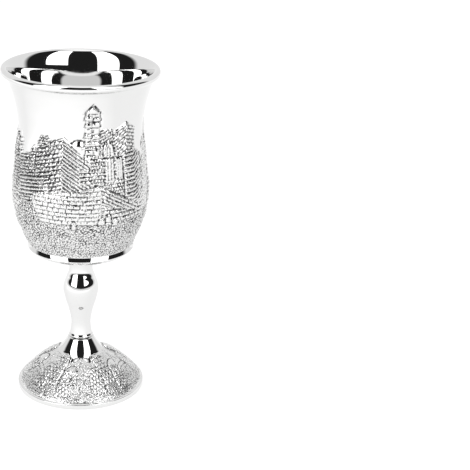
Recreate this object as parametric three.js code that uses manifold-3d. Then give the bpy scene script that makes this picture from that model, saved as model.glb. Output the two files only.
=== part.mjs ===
// Footed kiddush cup with a walled-city relief: bowl, stem and foot.
// Millimetres, +Z up. The cup stands on z = 0 with its axis on Z, and its front faces -Y.
// Angles round the cup are in degrees: 0 at the front, growing towards +X.

import * as THREE from "three";
import { mergeVertices } from "three/addons/utils/BufferGeometryUtils.js";
import Module from "manifold-3d";

const wasm = await Module();
wasm.setup();

// ---- Driving dimensions ------------------------------------------------------------------------

const SEAM_GAP = 0.3;

const bowl = {
  seatZ: 58.7,
  seatRadius: 7,
  baseRadius: 20.4,
  baseZ: 62.8,
  bandRadius: 21.8,
  bandZ: 65.1,
  bandTopRadius: 21.5,
  bandTopZ: 66.5,
  shoulderRadius: 25.7,
  shoulderZ: 77.5,
  bellyRadius: 27.2,
  bellyZ: 89,
  hipRadius: 26.2,
  hipZ: 104,
  waistRadius: 25.1,
  waistZ: 115.5,
  neckRadius: 26.3,
  neckZ: 125.5,
  flareRadius: 28.4,
  flareZ: 133,
  rimRadius: 32,
  rimZ: 140,
  lipRadius: 1.5,
  wall: 1.3,
  floorEdgeRadius: 19.4,
  floorEdgeZ: 65.9,
  insideFlareRadius: 26.05,
  insideFlareZ: 131,
  insideCurlRadius: 27.5,
  insideCurlZ: 136.6,
  sideSteps: 12,
  insideSteps: 8,
  sides: 36,
};

const stem = {
  footRadius: 5.0,
  ringHeight: 1.3,
  waistRadius: 4.15,
  waistZ: 28.8,
  riseRadius: 5.05,
  riseZ: 34.4,
  swellRadius: 6.6,
  swellZ: 39.6,
  bulgeRadius: 7.45,
  bulgeZ: 44.4,
  crownRadius: 7.3,
  crownZ: 47.3,
  fallRadius: 6.3,
  fallZ: 49.8,
  neckRadius: 5.5,
  neckZ: 52.4,
  collarRadius: 5.55,
  collarZ: 55.4,
  topRadius: 6.3,
  sideSteps: 18,
  sides: 16,
};

const foot = {
  rimRadius: 26.9,
  rimHeight: 2,
  bevel: 0.8,
  middleRadius: 17,
  middleZ: 10.9,
  coveRadius: 8.6,
  coveZ: 17.2,
  neckRadius: 5.3,
  neckZ: 22,
  wall: 1.3,
  standRing: 2.4,
  sideSteps: 6,
  sides: 30,
};

/** How far each kind of work stands out from the wall, in millimetres. */
const rise = { far: 0.35, house: 0.6, tower: 0.8, wall: 1.0, ground: 0.7, corner: 1.15 };

/** How deep the relief is rooted in the wall below it, so that the two join. */
const ROOT = 0.6;

const silver = new THREE.Color(0.86, 0.86, 0.85);

// ---- Outlines turned round the axis ------------------------------------------------------------

/** The bowl's outer line from the top of its plain band up to the underside of the lip. */
function bowlSideCurve() {
  const lipJoin = new THREE.Vector2(
    bowl.rimRadius - 1.25 * bowl.lipRadius,
    bowl.rimZ - 2 * bowl.lipRadius,
  );
  return new THREE.SplineCurve([
    new THREE.Vector2(bowl.bandTopRadius, bowl.bandTopZ),
    new THREE.Vector2(bowl.shoulderRadius, bowl.shoulderZ),
    new THREE.Vector2(bowl.bellyRadius, bowl.bellyZ),
    new THREE.Vector2(bowl.hipRadius, bowl.hipZ),
    new THREE.Vector2(bowl.waistRadius, bowl.waistZ),
    new THREE.Vector2(bowl.neckRadius, bowl.neckZ),
    new THREE.Vector2(bowl.flareRadius, bowl.flareZ),
    lipJoin,
  ]);
}

/** The bowl's inner line from the edge of its floor up to its rolled lip. */
function bowlInsideCurve() {
  const thinned = (radius, z) => new THREE.Vector2(radius - bowl.wall, z);
  const lipEnd = bowl.lipRadius * Math.SQRT1_2;
  return new THREE.SplineCurve([
    new THREE.Vector2(bowl.floorEdgeRadius, bowl.floorEdgeZ),
    thinned(bowl.shoulderRadius, bowl.shoulderZ),
    thinned(bowl.bellyRadius, bowl.bellyZ),
    thinned(bowl.hipRadius, bowl.hipZ),
    thinned(bowl.waistRadius, bowl.waistZ),
    thinned(bowl.neckRadius, bowl.neckZ),
    new THREE.Vector2(bowl.insideFlareRadius, bowl.insideFlareZ),
    new THREE.Vector2(bowl.insideCurlRadius, bowl.insideCurlZ),
    new THREE.Vector2(
      bowl.rimRadius - bowl.lipRadius - lipEnd,
      bowl.rimZ - bowl.lipRadius + lipEnd,
    ),
  ]);
}

/** The foot's outer line from its bevelled rim up to its neck. */
function footSideCurve() {
  return new THREE.SplineCurve([
    new THREE.Vector2(foot.rimRadius - foot.bevel, foot.rimHeight + foot.bevel),
    new THREE.Vector2(foot.middleRadius, foot.middleZ),
    new THREE.Vector2(foot.coveRadius, foot.coveZ),
    new THREE.Vector2(foot.neckRadius, foot.neckZ),
  ]);
}

/** Moves a line of points sideways by a distance: positive is to the right of its direction. */
function offsetLine(points, distance) {
  return points.map((point, i) => {
    const before = points[Math.max(i - 1, 0)];
    const after = points[Math.min(i + 1, points.length - 1)];
    const along = after.clone().sub(before).normalize();
    return new THREE.Vector2(point.x + distance * along.y, point.y - distance * along.x);
  });
}

/** The bowl's closed section: underside, plain band, side, rolled lip and hollow inside. */
function bowlSection() {
  const side = bowlSideCurve().getPoints(bowl.sideSteps);
  const underside = new THREE.Path()
    .moveTo(0, bowl.seatZ)
    .lineTo(bowl.seatRadius, bowl.seatZ)
    .quadraticCurveTo(bowl.baseRadius - 5, bowl.seatZ + 1.2, bowl.baseRadius - 1.6, bowl.baseZ - 1.5)
    .quadraticCurveTo(bowl.baseRadius - 0.1, bowl.baseZ - 1.1, bowl.baseRadius, bowl.baseZ);
  const lip = new THREE.Path().absarc(
    bowl.rimRadius - bowl.lipRadius,
    bowl.rimZ - bowl.lipRadius,
    bowl.lipRadius,
    -0.35 * Math.PI,
    0.75 * Math.PI,
    false,
  );
  const inside = bowlInsideCurve().getPoints(bowl.insideSteps).reverse();
  const floorZ = bowl.seatZ + bowl.wall;
  const floor = new THREE.Path()
    .moveTo(bowl.floorEdgeRadius, bowl.floorEdgeZ)
    .quadraticCurveTo(bowl.floorEdgeRadius - 1.5, floorZ + 3.2, bowl.baseRadius - 5, floorZ + 1.5)
    .quadraticCurveTo(bowl.seatRadius + 2, floorZ, 0, floorZ);
  return [
    ...underside.getPoints(2).slice(0, -1),
    new THREE.Vector2(bowl.baseRadius, bowl.baseZ),
    new THREE.Vector2(bowl.bandRadius, bowl.bandZ),
    ...side.slice(0, -1),
    ...lip.getPoints(4).slice(0, -1),
    ...inside,
    ...floor.getPoints(2).slice(1),
  ];
}

/** The stem's closed section, from a small ring at its foot to its flared top. */
function stemSection() {
  const bottom = foot.neckZ + SEAM_GAP;
  const top = bowl.seatZ - SEAM_GAP;
  const ringTop = bottom + stem.ringHeight;
  const side = new THREE.SplineCurve([
    new THREE.Vector2(stem.footRadius - 0.35, ringTop + 0.2),
    new THREE.Vector2(stem.waistRadius, stem.waistZ),
    new THREE.Vector2(stem.riseRadius, stem.riseZ),
    new THREE.Vector2(stem.swellRadius, stem.swellZ),
    new THREE.Vector2(stem.bulgeRadius, stem.bulgeZ),
    new THREE.Vector2(stem.crownRadius, stem.crownZ),
    new THREE.Vector2(stem.fallRadius, stem.fallZ),
    new THREE.Vector2(stem.neckRadius, stem.neckZ),
    new THREE.Vector2(stem.collarRadius, stem.collarZ),
    new THREE.Vector2(stem.topRadius, top),
  ]);
  const ring = new THREE.Path()
    .moveTo(stem.footRadius - 0.2, bottom)
    .quadraticCurveTo(stem.footRadius + 0.5, (bottom + ringTop) / 2, stem.footRadius - 0.2, ringTop);
  return [
    new THREE.Vector2(0, bottom),
    ...ring.getPoints(2),
    ...side.getPoints(stem.sideSteps),
    new THREE.Vector2(0, top),
  ];
}

/** The foot's closed section: flat standing ring, rim, domed side, neck and hollow underside. */
function footSection() {
  const side = footSideCurve().getPoints(foot.sideSteps);
  const inside = offsetLine(side, -foot.wall).slice(1, -1).reverse();
  return [
    new THREE.Vector2(foot.rimRadius - foot.standRing, 0),
    new THREE.Vector2(foot.rimRadius, 0),
    new THREE.Vector2(foot.rimRadius, foot.rimHeight),
    ...side,
    new THREE.Vector2(0, foot.neckZ),
    new THREE.Vector2(0, foot.neckZ - 2 * foot.wall),
    ...inside,
    new THREE.Vector2(foot.rimRadius - foot.standRing, 0),
  ];
}

// ---- Solids ------------------------------------------------------------------------------------

/** Turns a section of (radius, z) points round the Z axis. */
function turned(section, sides) {
  return new THREE.LatheGeometry(section, sides).rotateX(Math.PI / 2);
}

/** A closed geometry as a solid for joining and cutting. */
function toSolid(geometry) {
  geometry.deleteAttribute("normal");
  geometry.deleteAttribute("uv");
  const merged = mergeVertices(geometry);
  const corners = merged.index.array;
  const faces = [];
  for (let i = 0; i < corners.length; i += 3) {
    const [a, b, c] = corners.slice(i, i + 3);
    if (a !== b && b !== c && c !== a) {
      faces.push(a, b, c);
    }
  }
  return new wasm.Manifold(
    new wasm.Mesh({
      numProp: 3,
      vertProperties: merged.attributes.position.array,
      triVerts: new Uint32Array(faces),
    }),
  );
}

/** The largest body of a joined or cut solid, as a geometry with flat faces. */
function toGeometry(solid) {
  const bodies = solid.decompose().sort((a, b) => b.volume() - a.volume());
  const mesh = bodies[0].getMesh();
  const geometry = new THREE.BufferGeometry();
  geometry.setAttribute("position", new THREE.BufferAttribute(mesh.vertProperties, 3));
  geometry.setIndex(new THREE.BufferAttribute(mesh.triVerts, 1));
  return geometry;
}

/** A ring-shaped skin over a side curve, between two distances from it. */
function skin(curve, steps, from, to, sides) {
  const line = curve.getPoints(steps);
  const near = offsetLine(line, from);
  const far = offsetLine(line, to);
  return toSolid(turned([...near.reverse(), ...far, near[0].clone()], sides));
}

/** A block cut straight through the wall, from an outline of [angle, height] corners. */
function radialBlock(outline, innerRadius, outerRadius) {
  const shape = new THREE.Shape(outline.map(([angle, z]) => new THREE.Vector2(angle, z)));
  const depth = outerRadius - innerRadius;
  const block = new THREE.ExtrudeGeometry(shape, { depth, bevelEnabled: false });
  const position = block.attributes.position;
  for (let i = 0; i < position.count; i += 1) {
    const angle = THREE.MathUtils.degToRad(position.getX(i));
    const z = position.getY(i);
    const radius = innerRadius + position.getZ(i);
    position.setXYZ(i, radius * Math.sin(angle), -radius * Math.cos(angle), z);
  }
  return toSolid(block);
}

// ---- Outlines of the city, as [angle, height] corners -------------------------------------------

/** A plain block of building. lean lifts its right end above its left. */
function block({ left, right, low, high, lean = 0 }) {
  return [[left, low], [right, low + lean], [right, high + lean], [left, high]];
}

/** A house with its ridge over the middle. */
function gable({ left, right, low, eaves, ridge }) {
  return [[left, low], [right, low], [right, eaves], [(left + right) / 2, ridge], [left, eaves]];
}

/** A building seen at its corner: both roof lines fall away from the corner. */
function cornerHouse({ left, corner, right, low, leftEaves, peak, rightEaves }) {
  return [[left, low], [right, low], [right, rightEaves], [corner, peak], [left, leftEaves]];
}

/** A half-round shape on a short base: a dome, or the head of an arch. */
function dome({ left, right, low, springing, crown, steps = 6 }) {
  const centre = (left + right) / 2;
  const corners = [[left, low], [right, low]];
  for (let i = 0; i <= steps; i += 1) {
    const turn = (Math.PI * i) / steps;
    corners.push([
      centre + ((right - left) / 2) * Math.cos(turn),
      springing + (crown - springing) * Math.sin(turn),
    ]);
  }
  return corners;
}

/** A cypress: a narrow leaf with its widest part low down. */
function cypress({ at, width, low, high, steps = 5 }) {
  const side = (i) => (width / 2) * Math.sin(Math.PI * Math.sqrt(i / steps));
  const corners = [];
  for (let i = 0; i <= steps; i += 1) {
    corners.push([at + side(i), low + ((high - low) * i) / steps]);
  }
  for (let i = steps - 1; i > 0; i -= 1) {
    corners.push([at - side(i), low + ((high - low) * i) / steps]);
  }
  return corners;
}

/** Stone courses: a stack of bands with an open joint between each two. */
function courses({ left, right, low, high, lean = 0, count, joint = 0.5 }) {
  const pitch = (high - low) / count;
  return Array.from({ length: count }, (_, i) =>
    block({ left, right, low: low + i * pitch + joint, high: low + (i + 1) * pitch, lean }),
  );
}

/** A stretch of rough hillside whose top rises and falls. */
function hillside({ left, right, low, high, swing, step = 15 }) {
  const corners = [[left, low], [right, low]];
  for (let angle = right; angle >= left; angle -= step) {
    const wave = Math.sin(THREE.MathUtils.degToRad(5 * angle + 40));
    corners.push([angle, high + swing * wave]);
  }
  return corners;
}

// ---- The city round the bowl --------------------------------------------------------------------

/** Hills below the walls, in stretches all round the bowl. */
function bowlGround() {
  const stretches = [];
  for (let left = -180; left < 180; left += 60) {
    stretches.push(hillside({ left, right: left + 60, low: bowl.baseZ, high: 84.5, swing: 1.6 }));
  }
  const leftSlope = [[-100, bowl.baseZ], [-40, bowl.baseZ], [-38, 85], [-43, 92.5], [-66, 94], [-100, 88]];
  return [...stretches, leftSlope];
}

/** The front of the city, layer by layer. */
function frontCity() {
  return {
    far: [
      block({ left: -66, right: -30, low: 90, high: 109 }),
      gable({ left: -48, right: -42, low: 105, eaves: 111.5, ridge: 113.5 }),
      cypress({ at: -53.5, width: 7, low: 106, high: 116.2 }),
      dome({ left: -9, right: 3, low: 105, springing: 111.5, crown: 115.2 }),
      block({ left: 17, right: 29, low: 108, high: 120.5 }),
      block({ left: 58, right: 76, low: 84, high: 105 }),
      gable({ left: 60, right: 70, low: 100, eaves: 107, ridge: 109.5 }),
    ],
    house: [
      cornerHouse({
        left: -42, corner: -17, right: 7, low: 95, leftEaves: 113.5, peak: 117.6, rightEaves: 106,
      }),
      gable({ left: -41, right: -33, low: 108, eaves: 114.5, ridge: 116.5 }),
      block({ left: 18, right: 58, low: 92, high: 110.5 }),
      cornerHouse({
        left: 30, corner: 43, right: 56, low: 106, leftEaves: 119.6, peak: 122.6, rightEaves: 119.4,
      }),
      ...courses({ left: -60, right: -38, low: 93.5, high: 101.5, lean: 1.5, count: 3 }),
    ],
    tower: [
      block({ left: 3, right: 17.5, low: 96, high: 127.5 }),
      gable({ left: 4.5, right: 15.5, low: 127, eaves: 129.2, ridge: 132 }),
      ...courses({ left: 40, right: 59.5, low: 86.5, high: 110.5, count: 7 }),
    ],
    wall: [
      ...courses({ left: -40, right: 21, low: 83, high: 98.5, count: 5 }),
      ...courses({ left: 19, right: 50, low: 88.5, high: 97, lean: -6, count: 2 }),
      ...[115, 118.3, 121.6, 124.9].map((z) => block({ left: 1.8, right: 18.6, low: z, high: z + 0.9 })),
      block({ left: 3, right: 17, low: 128.6, high: 129.6 }),
    ],
    corner: [
      block({ left: -18.2, right: -15.8, low: 99, high: 116.6 }),
      block({ left: 42, right: 44.2, low: 111, high: 121.6 }),
      block({ left: 49.2, right: 51.2, low: 87, high: 110.3 }),
    ],
  };
}

/** Doors and windows cut back into the front of the city. */
function frontOpenings() {
  const windows = [21.5, 25, 31, 34.5].map((left) =>
    block({ left, right: left + 1.6, low: 102, high: 108 }),
  );
  const arch = dome({ left: 21.5, right: 28.5, low: 110.8, springing: 112.4, crown: 115.2 });
  const gallery = [116.2, 119.5, 122.8].flatMap((low) =>
    [6.2, 12.2].map((left) => block({ left, right: left + 1.8, low, high: low + 1.9 })),
  );
  return [...windows, arch, ...gallery];
}

/** Plainer streets on the sides and back: a run of houses, domes, trees and towers. */
function backCity() {
  const layers = { house: [], tower: [], wall: [] };
  const first = 76;
  const last = 294;
  const plots = 11;
  const width = (last - first) / plots;
  for (let i = 0; i < plots; i += 1) {
    const left = first + i * width;
    const right = left + width;
    const eaves = 108 + 5 * Math.sin(1.9 * i + 0.6);
    if (i % 4 === 1) {
      layers.house.push(dome({ left, right, low: 92, springing: eaves, crown: eaves + 6, steps: 5 }));
    } else if (i % 4 === 3) {
      const sides = { left: left + 5, right: right - 4 };
      layers.tower.push(gable({ ...sides, low: 92, eaves: eaves + 6, ridge: eaves + 11 }));
    } else {
      layers.house.push(gable({ left, right, low: 92, eaves, ridge: eaves + 3.5 }));
      layers.tower.push(cypress({ at: right, width: 6, low: 98, high: eaves + 5, steps: 3 }));
    }
  }
  layers.wall.push(block({ left: 76, right: 148, low: 84, high: 94 }));
  layers.wall.push(block({ left: 149, right: 221, low: 82, high: 93 }));
  layers.wall.push(block({ left: 222, right: 298, low: 84, high: 94 }));
  return layers;
}

/** The bowl with its relief joined on. */
function bowlGeometry() {
  const side = bowlSideCurve();
  const body = toSolid(turned(bowlSection(), bowl.sides));
  const front = frontCity();
  const back = backCity();
  const cutBlock = (outline) => radialBlock(outline, bowl.baseRadius - 4, bowl.rimRadius + 8);
  const layer = (outlines, height) => {
    const blocks = wasm.Manifold.union(outlines.map(cutBlock));
    return blocks.intersect(skin(side, bowl.sideSteps, -ROOT, height, bowl.sides));
  };
  let solid = body.add(layer(bowlGround(), rise.ground));
  for (const kind of ["far", "house", "tower", "wall", "corner"]) {
    solid = solid.add(layer([...front[kind], ...(back[kind] ?? [])], rise[kind]));
  }
  const openings = wasm.Manifold.union(frontOpenings().map(cutBlock));
  const depth = skin(side, bowl.sideSteps, rise.far / 2, 4, bowl.sides);
  return toGeometry(solid.subtract(openings.intersect(depth)));
}

// ---- The city round the foot --------------------------------------------------------------------

/** One group of buildings on the foot: a tall tower, a house with a dome and two low walls. */
function footGroup(at) {
  const placed = (outline) => outline.map(([offset, z]) => [at + offset, z]);
  const tower = [[-6.4, 7.5], [6.4, 7.5], [8, 11.5], [13, 16], [-13, 16.6], [-8, 11.5]];
  const house = dome({ left: 11, right: 31, low: 8.2, springing: 11.4, crown: 13.4, steps: 4 });
  const leftWall = block({ left: -25, right: -8, low: 5.6, high: 12.4 });
  const rightWall = block({ left: 9, right: 25, low: 4.8, high: 8 });
  return {
    house: [placed(house), placed(leftWall), placed(rightWall)],
    tower: [placed(tower)],
  };
}

/** The foot with its relief joined on. */
function footGeometry() {
  const side = footSideCurve();
  const body = toSolid(turned(footSection(), foot.sides));
  const cutBlock = (outline) => radialBlock(outline, foot.neckRadius, foot.rimRadius + 12);
  const layer = (outlines, height) => {
    const blocks = wasm.Manifold.union(outlines.map(cutBlock));
    return blocks.intersect(skin(side, foot.sideSteps, -ROOT, height, foot.sides));
  };
  const groups = Array.from({ length: 5 }, (_, i) => footGroup(36 + 72 * i));
  const solid = body
    .add(layer(groups.flatMap((group) => group.house), rise.house))
    .add(layer(groups.flatMap((group) => group.tower), rise.tower));
  return toGeometry(solid);
}

// ---- The cup ------------------------------------------------------------------------------------

/** A named piece in plated metal. */
function piece(name, geometry, roughness) {
  const material = new THREE.MeshStandardMaterial({ color: silver, metalness: 1, roughness });
  const mesh = new THREE.Mesh(geometry, material);
  mesh.name = name;
  return mesh;
}

const cup = new THREE.Group();
cup.add(piece("bowl", bowlGeometry(), 0.2));
cup.add(piece("stem", turned(stemSection(), stem.sides), 0.1));
cup.add(piece("foot", footGeometry(), 0.22));

export default cup;
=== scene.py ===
"""Looks of a footed kiddush cup with a walled-city relief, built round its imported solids.

Sizes are in millimetres inside the classes and become metres where a mesh is made.
Angles round the cup are in degrees: 0 faces -Y, and they grow towards +X.
"""

import logging
import math
from dataclasses import dataclass, field, replace
from enum import Enum
from typing import Callable, Sequence

import bpy
import numpy as np
from mathutils import Matrix, Vector


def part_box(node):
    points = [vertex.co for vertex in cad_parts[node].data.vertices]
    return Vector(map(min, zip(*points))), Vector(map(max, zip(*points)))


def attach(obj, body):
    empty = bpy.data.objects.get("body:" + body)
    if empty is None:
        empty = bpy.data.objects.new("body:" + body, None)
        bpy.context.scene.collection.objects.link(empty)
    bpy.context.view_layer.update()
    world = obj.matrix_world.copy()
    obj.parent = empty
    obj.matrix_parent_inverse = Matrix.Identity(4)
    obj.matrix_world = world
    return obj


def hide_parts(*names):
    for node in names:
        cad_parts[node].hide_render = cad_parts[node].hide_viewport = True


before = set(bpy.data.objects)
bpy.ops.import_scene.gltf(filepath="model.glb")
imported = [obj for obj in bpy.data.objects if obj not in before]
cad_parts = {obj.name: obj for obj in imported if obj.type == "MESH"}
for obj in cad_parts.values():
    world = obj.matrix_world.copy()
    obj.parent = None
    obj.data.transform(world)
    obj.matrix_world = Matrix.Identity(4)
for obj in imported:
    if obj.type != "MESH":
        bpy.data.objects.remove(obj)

Array = np.ndarray
Point = tuple[float, float]
Texture = Callable[[Array, Array], Array]
Tree = bpy.types.NodeTree
Socket = bpy.types.NodeSocket

MM = 0.001
BODY = "root"
log = logging.getLogger("cup")


# ---- Lines and fields ----------------------------------------------------------------------------

def spline(stations: Sequence[Point], steps: int) -> Array:
    """Draw a smooth line through stations.

    Args:
        stations: (radius, z) points that the line passes through.
        steps: number of equal steps along the line.

    Returns:
        Array of steps + 1 (radius, z) points.
    """
    points = np.array([stations[0], *stations, stations[-1]], float)
    places = np.linspace(0, len(stations) - 1, steps + 1)
    span = np.minimum(places.astype(int), len(stations) - 2)
    t = (places - span)[:, None]
    p0, p1, p2, p3 = (points[span + k] for k in range(4))
    bend = (2 * p0 - 5 * p1 + 4 * p2 - p3) * t**2 + (3 * p1 - p0 - 3 * p2 + p3) * t**3
    return 0.5 * (2 * p1 + (p2 - p0) * t + bend)


def bezier(start: Point, pull: Point, end: Point, steps: int) -> Array:
    """Draw a quadratic curve.

    Args:
        start: first (radius, z) point.
        pull: point that the curve bends towards.
        end: last point.
        steps: number of steps along the curve.

    Returns:
        Array of steps + 1 (radius, z) points.
    """
    t = np.linspace(0, 1, steps + 1)[:, None]
    return (1 - t) ** 2 * np.array(start) + 2 * t * (1 - t) * np.array(pull) + t**2 * np.array(end)


def arc(centre: Point, radius: float, first: float, last: float, steps: int) -> Array:
    """Draw a circular arc in the (radius, z) plane.

    Args:
        centre: centre of the arc.
        radius: its radius.
        first: angle of its first point in degrees from the outward direction, growing upwards.
        last: angle of its last point.
        steps: number of steps along the arc.

    Returns:
        Array of steps + 1 (radius, z) points.
    """
    turn = np.radians(np.linspace(first, last, steps + 1))
    return np.stack([centre[0] + radius * np.cos(turn), centre[1] + radius * np.sin(turn)], 1)


def respaced(line: Array, count: int) -> Array:
    """Spread points evenly along a line.

    Args:
        line: (radius, z) points.
        count: number of steps in the result.

    Returns:
        Array of count + 1 points at equal distances.
    """
    travelled = path_length(line)
    places = np.linspace(0, travelled[-1], count + 1)
    return np.stack([np.interp(places, travelled, line[:, k]) for k in range(2)], 1)


def path_length(line: Array) -> Array:
    """Return the distance travelled along a line at each of its points."""
    return np.concatenate([[0.0], np.cumsum(np.hypot(*np.diff(line, axis=0).T))])


def outward(line: Array) -> Array:
    """Find which way the surface faces along a line.

    Args:
        line: (radius, z) points.

    Returns:
        Unit vectors to the right of the line's direction, one for each point.
    """
    along = np.gradient(line, axis=0)
    along /= np.linalg.norm(along, axis=1)[:, None]
    return np.stack([along[:, 1], -along[:, 0]], 1)


def smooth(share: Array) -> Array:
    """Ease a value from 0 to 1, clipped outside that range."""
    share = np.clip(share, 0, 1)
    return share * share * (3 - 2 * share)


def ridge(distance: Array, width: float) -> Array:
    """Return a rounded ridge, 1 at no distance and falling away over a width."""
    return np.exp(-((distance / width) ** 2))


def turned(angle: Array, at: float) -> Array:
    """Return angles measured from another, from -180 to 180 degrees."""
    return (angle - at + 180) % 360 - 180


def rectangle(left: float, right: float, low: float, high: float) -> list[Point]:
    """Return the corners of an upright rectangle, anticlockwise."""
    return [(left, low), (right, low), (right, high), (left, high)]


def scatter(row: Array, column: Array, seed: float) -> Array:
    """Return a steady pseudo-random value from 0 to 1 for each cell of a lattice."""
    return np.modf(np.abs(np.sin(row * 12.9898 + column * 78.233 + seed * 37.719) * 43758.5453))[0]


def polygon(u: Array, v: Array, corners: Sequence[Point]) -> Array:
    """Measure the distance to a convex outline.

    Args:
        u: distance across, at each place.
        v: distance up, at each place.
        corners: the outline's corners, anticlockwise.

    Returns:
        Signed distance in millimetres, negative inside.
    """
    far = np.full(np.broadcast(u, v).shape, -1e9)
    for (u0, v0), (u1, v1) in zip(corners, [*corners[1:], corners[0]]):
        length = math.hypot(u1 - u0, v1 - v0)
        far = np.maximum(far, ((v1 - v0) * (u - u0) - (u1 - u0) * (v - v0)) / length)
    return far


# ---- Stonework and ground ------------------------------------------------------------------------

@dataclass(frozen=True)
class Masonry:
    """Coursed stone. Each stone stands up sharply from its bed and leans back towards its top.

    Attributes:
        course: height of a course.
        length: length of a stone.
        joint: width of the rounding beside an upright joint.
        upright: how open the upright joints are, from 0 to 1.
        under: share of a course over which a stone's lower edge rises.
        bevel: share of a course over which its upper edge falls.
        depth: depth of the joints.
        slope: how much the courses climb towards the right.
        uneven: how far one stone stands out more than another.
        tilt: how far stones lean forwards or back, as a slope.
        seed: number that sets which stone does what.
    """

    course: float = 1.9
    length: float = 2.7
    joint: float = 0.4
    upright: float = 0.8
    under: float = 0.16
    bevel: float = 0.42
    depth: float = 0.4
    slope: float = 0.0
    uneven: float = 0.12
    tilt: float = 0.35
    seed: float = 1.0

    def __call__(self, u: Array, v: Array) -> Array:
        """Work out how far each place lies from the wall's face.

        Args:
            u: distance across the wall.
            v: distance up the wall.

        Returns:
            Height above the wall's face, negative in the joints.
        """
        level = (v - self.slope * u) / self.course
        row = np.floor(level)
        share = level - row
        along = u / self.length + 0.5 * (row % 2) + 0.3 * scatter(row, 0, self.seed)
        column = np.floor(along)
        gap = np.minimum(along - column, column + 1 - along) * self.length
        open_joint = self.upright * (1 - smooth(gap / self.joint))
        stone = smooth(share / self.under) * smooth((1 - share) / self.bevel) * (1 - open_joint)
        step_out = self.uneven * (scatter(row, column, self.seed) - 0.5)
        lean = self.tilt * (scatter(column, row, self.seed + 5) - 0.35) * (0.5 - share) * self.course
        return self.depth * (stone - 1) + (step_out + lean) * stone


@dataclass(frozen=True)
class Corner:
    """Two walls that meet at an upright corner, which stands out by crest and fades over spread."""

    left: Texture
    right: Texture
    crest: float
    spread: float

    def __call__(self, u: Array, v: Array) -> Array:
        """Return the height of both walls above their face, highest at the corner."""
        walls = np.where(u < 0, self.left(u, v), self.right(u, v))
        return walls + self.crest * np.clip(1 - np.abs(u) / self.spread, 0, 1)


def plain(u: Array, v: Array) -> Array:
    """Return a flat face."""
    return np.zeros(np.broadcast(u, v).shape)


@dataclass(frozen=True)
class Pilasters:
    """A face of upright strips with grooves between them, notched at every course."""

    pitch: float
    depth: float
    course: float = 1.9

    def __call__(self, u: Array, v: Array) -> Array:
        """Work out how far each place lies from the wall's face.

        Args:
            u: distance across the wall.
            v: distance up the wall.

        Returns:
            Height above the wall's face, negative in the grooves.
        """
        groove = 0.5 - 0.5 * np.cos(2 * np.pi * u / self.pitch)
        notch = 0.5 + 0.5 * np.cos(2 * np.pi * v / self.course)
        return -self.depth * (groove + 0.35 * notch)


@dataclass(frozen=True)
class Cobbles:
    """Rough ground of small rounded stones in a scattered lattice.

    Attributes:
        round_count: number of stones in a row round the cup.
        size: height of a row.
        seed: number that sets how the stones scatter.
        rows: number of rows before the scatter repeats.
        crack: width of the cracks, as a share of a stone.
        fall: how much a stone falls from its middle outwards.
    """

    round_count: int
    size: float
    seed: int
    rows: int = 97
    crack: float = 0.55
    fall: float = 0.35

    def __call__(self, angle: Array, up: Array) -> Array:
        """Work out the ground's height.

        Args:
            angle: degrees round the cup for each column.
            up: distance up the wall for each row.

        Returns:
            Height from 0 in the cracks to 1 on the largest stones, by row and column.
        """
        x = np.broadcast_to(angle[None, :] / 360 * self.round_count, (len(up), len(angle)))
        y = np.broadcast_to(up[:, None] / self.size, x.shape)
        place = np.random.default_rng(self.seed).random((self.rows, self.round_count, 2))
        column, row = np.floor(x).astype(int), np.floor(y).astype(int)
        near = np.full(x.shape, 9.0)
        second = near.copy()
        for step_row in (-1, 0, 1):
            for step_column in (-1, 0, 1):
                spot = place[(row + step_row) % self.rows, (column + step_column) % self.round_count]
                reach = np.hypot(
                    column + step_column + spot[..., 0] - x, row + step_row + spot[..., 1] - y
                )
                second = np.minimum(second, np.maximum(near, reach))
                near = np.minimum(near, reach)
        return smooth((second - near) / self.crack) * (1 - self.fall * near)


# ---- Relief --------------------------------------------------------------------------------------

@dataclass(frozen=True)
class Working:
    """How a raised shape is worked.

    Attributes:
        soft: width of its rounded edge.
        cut: depth of the line chased round it.
        tooth: how rough its skin is, from 0 for polished to 1.
        line_shade: how far painted shade and roughness follow the chased line over plain metal, from 0 to
            1.
    """

    soft: float = 0.8
    cut: float = 0.16
    tooth: float = 0.6
    line_shade: float = 0.0


CAST = Working()
# Shapes laid as DOMED get painted shade all along their chased outline.
DOMED = Working(cut=0.4, tooth=0.2, line_shade=1.0)


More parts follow.
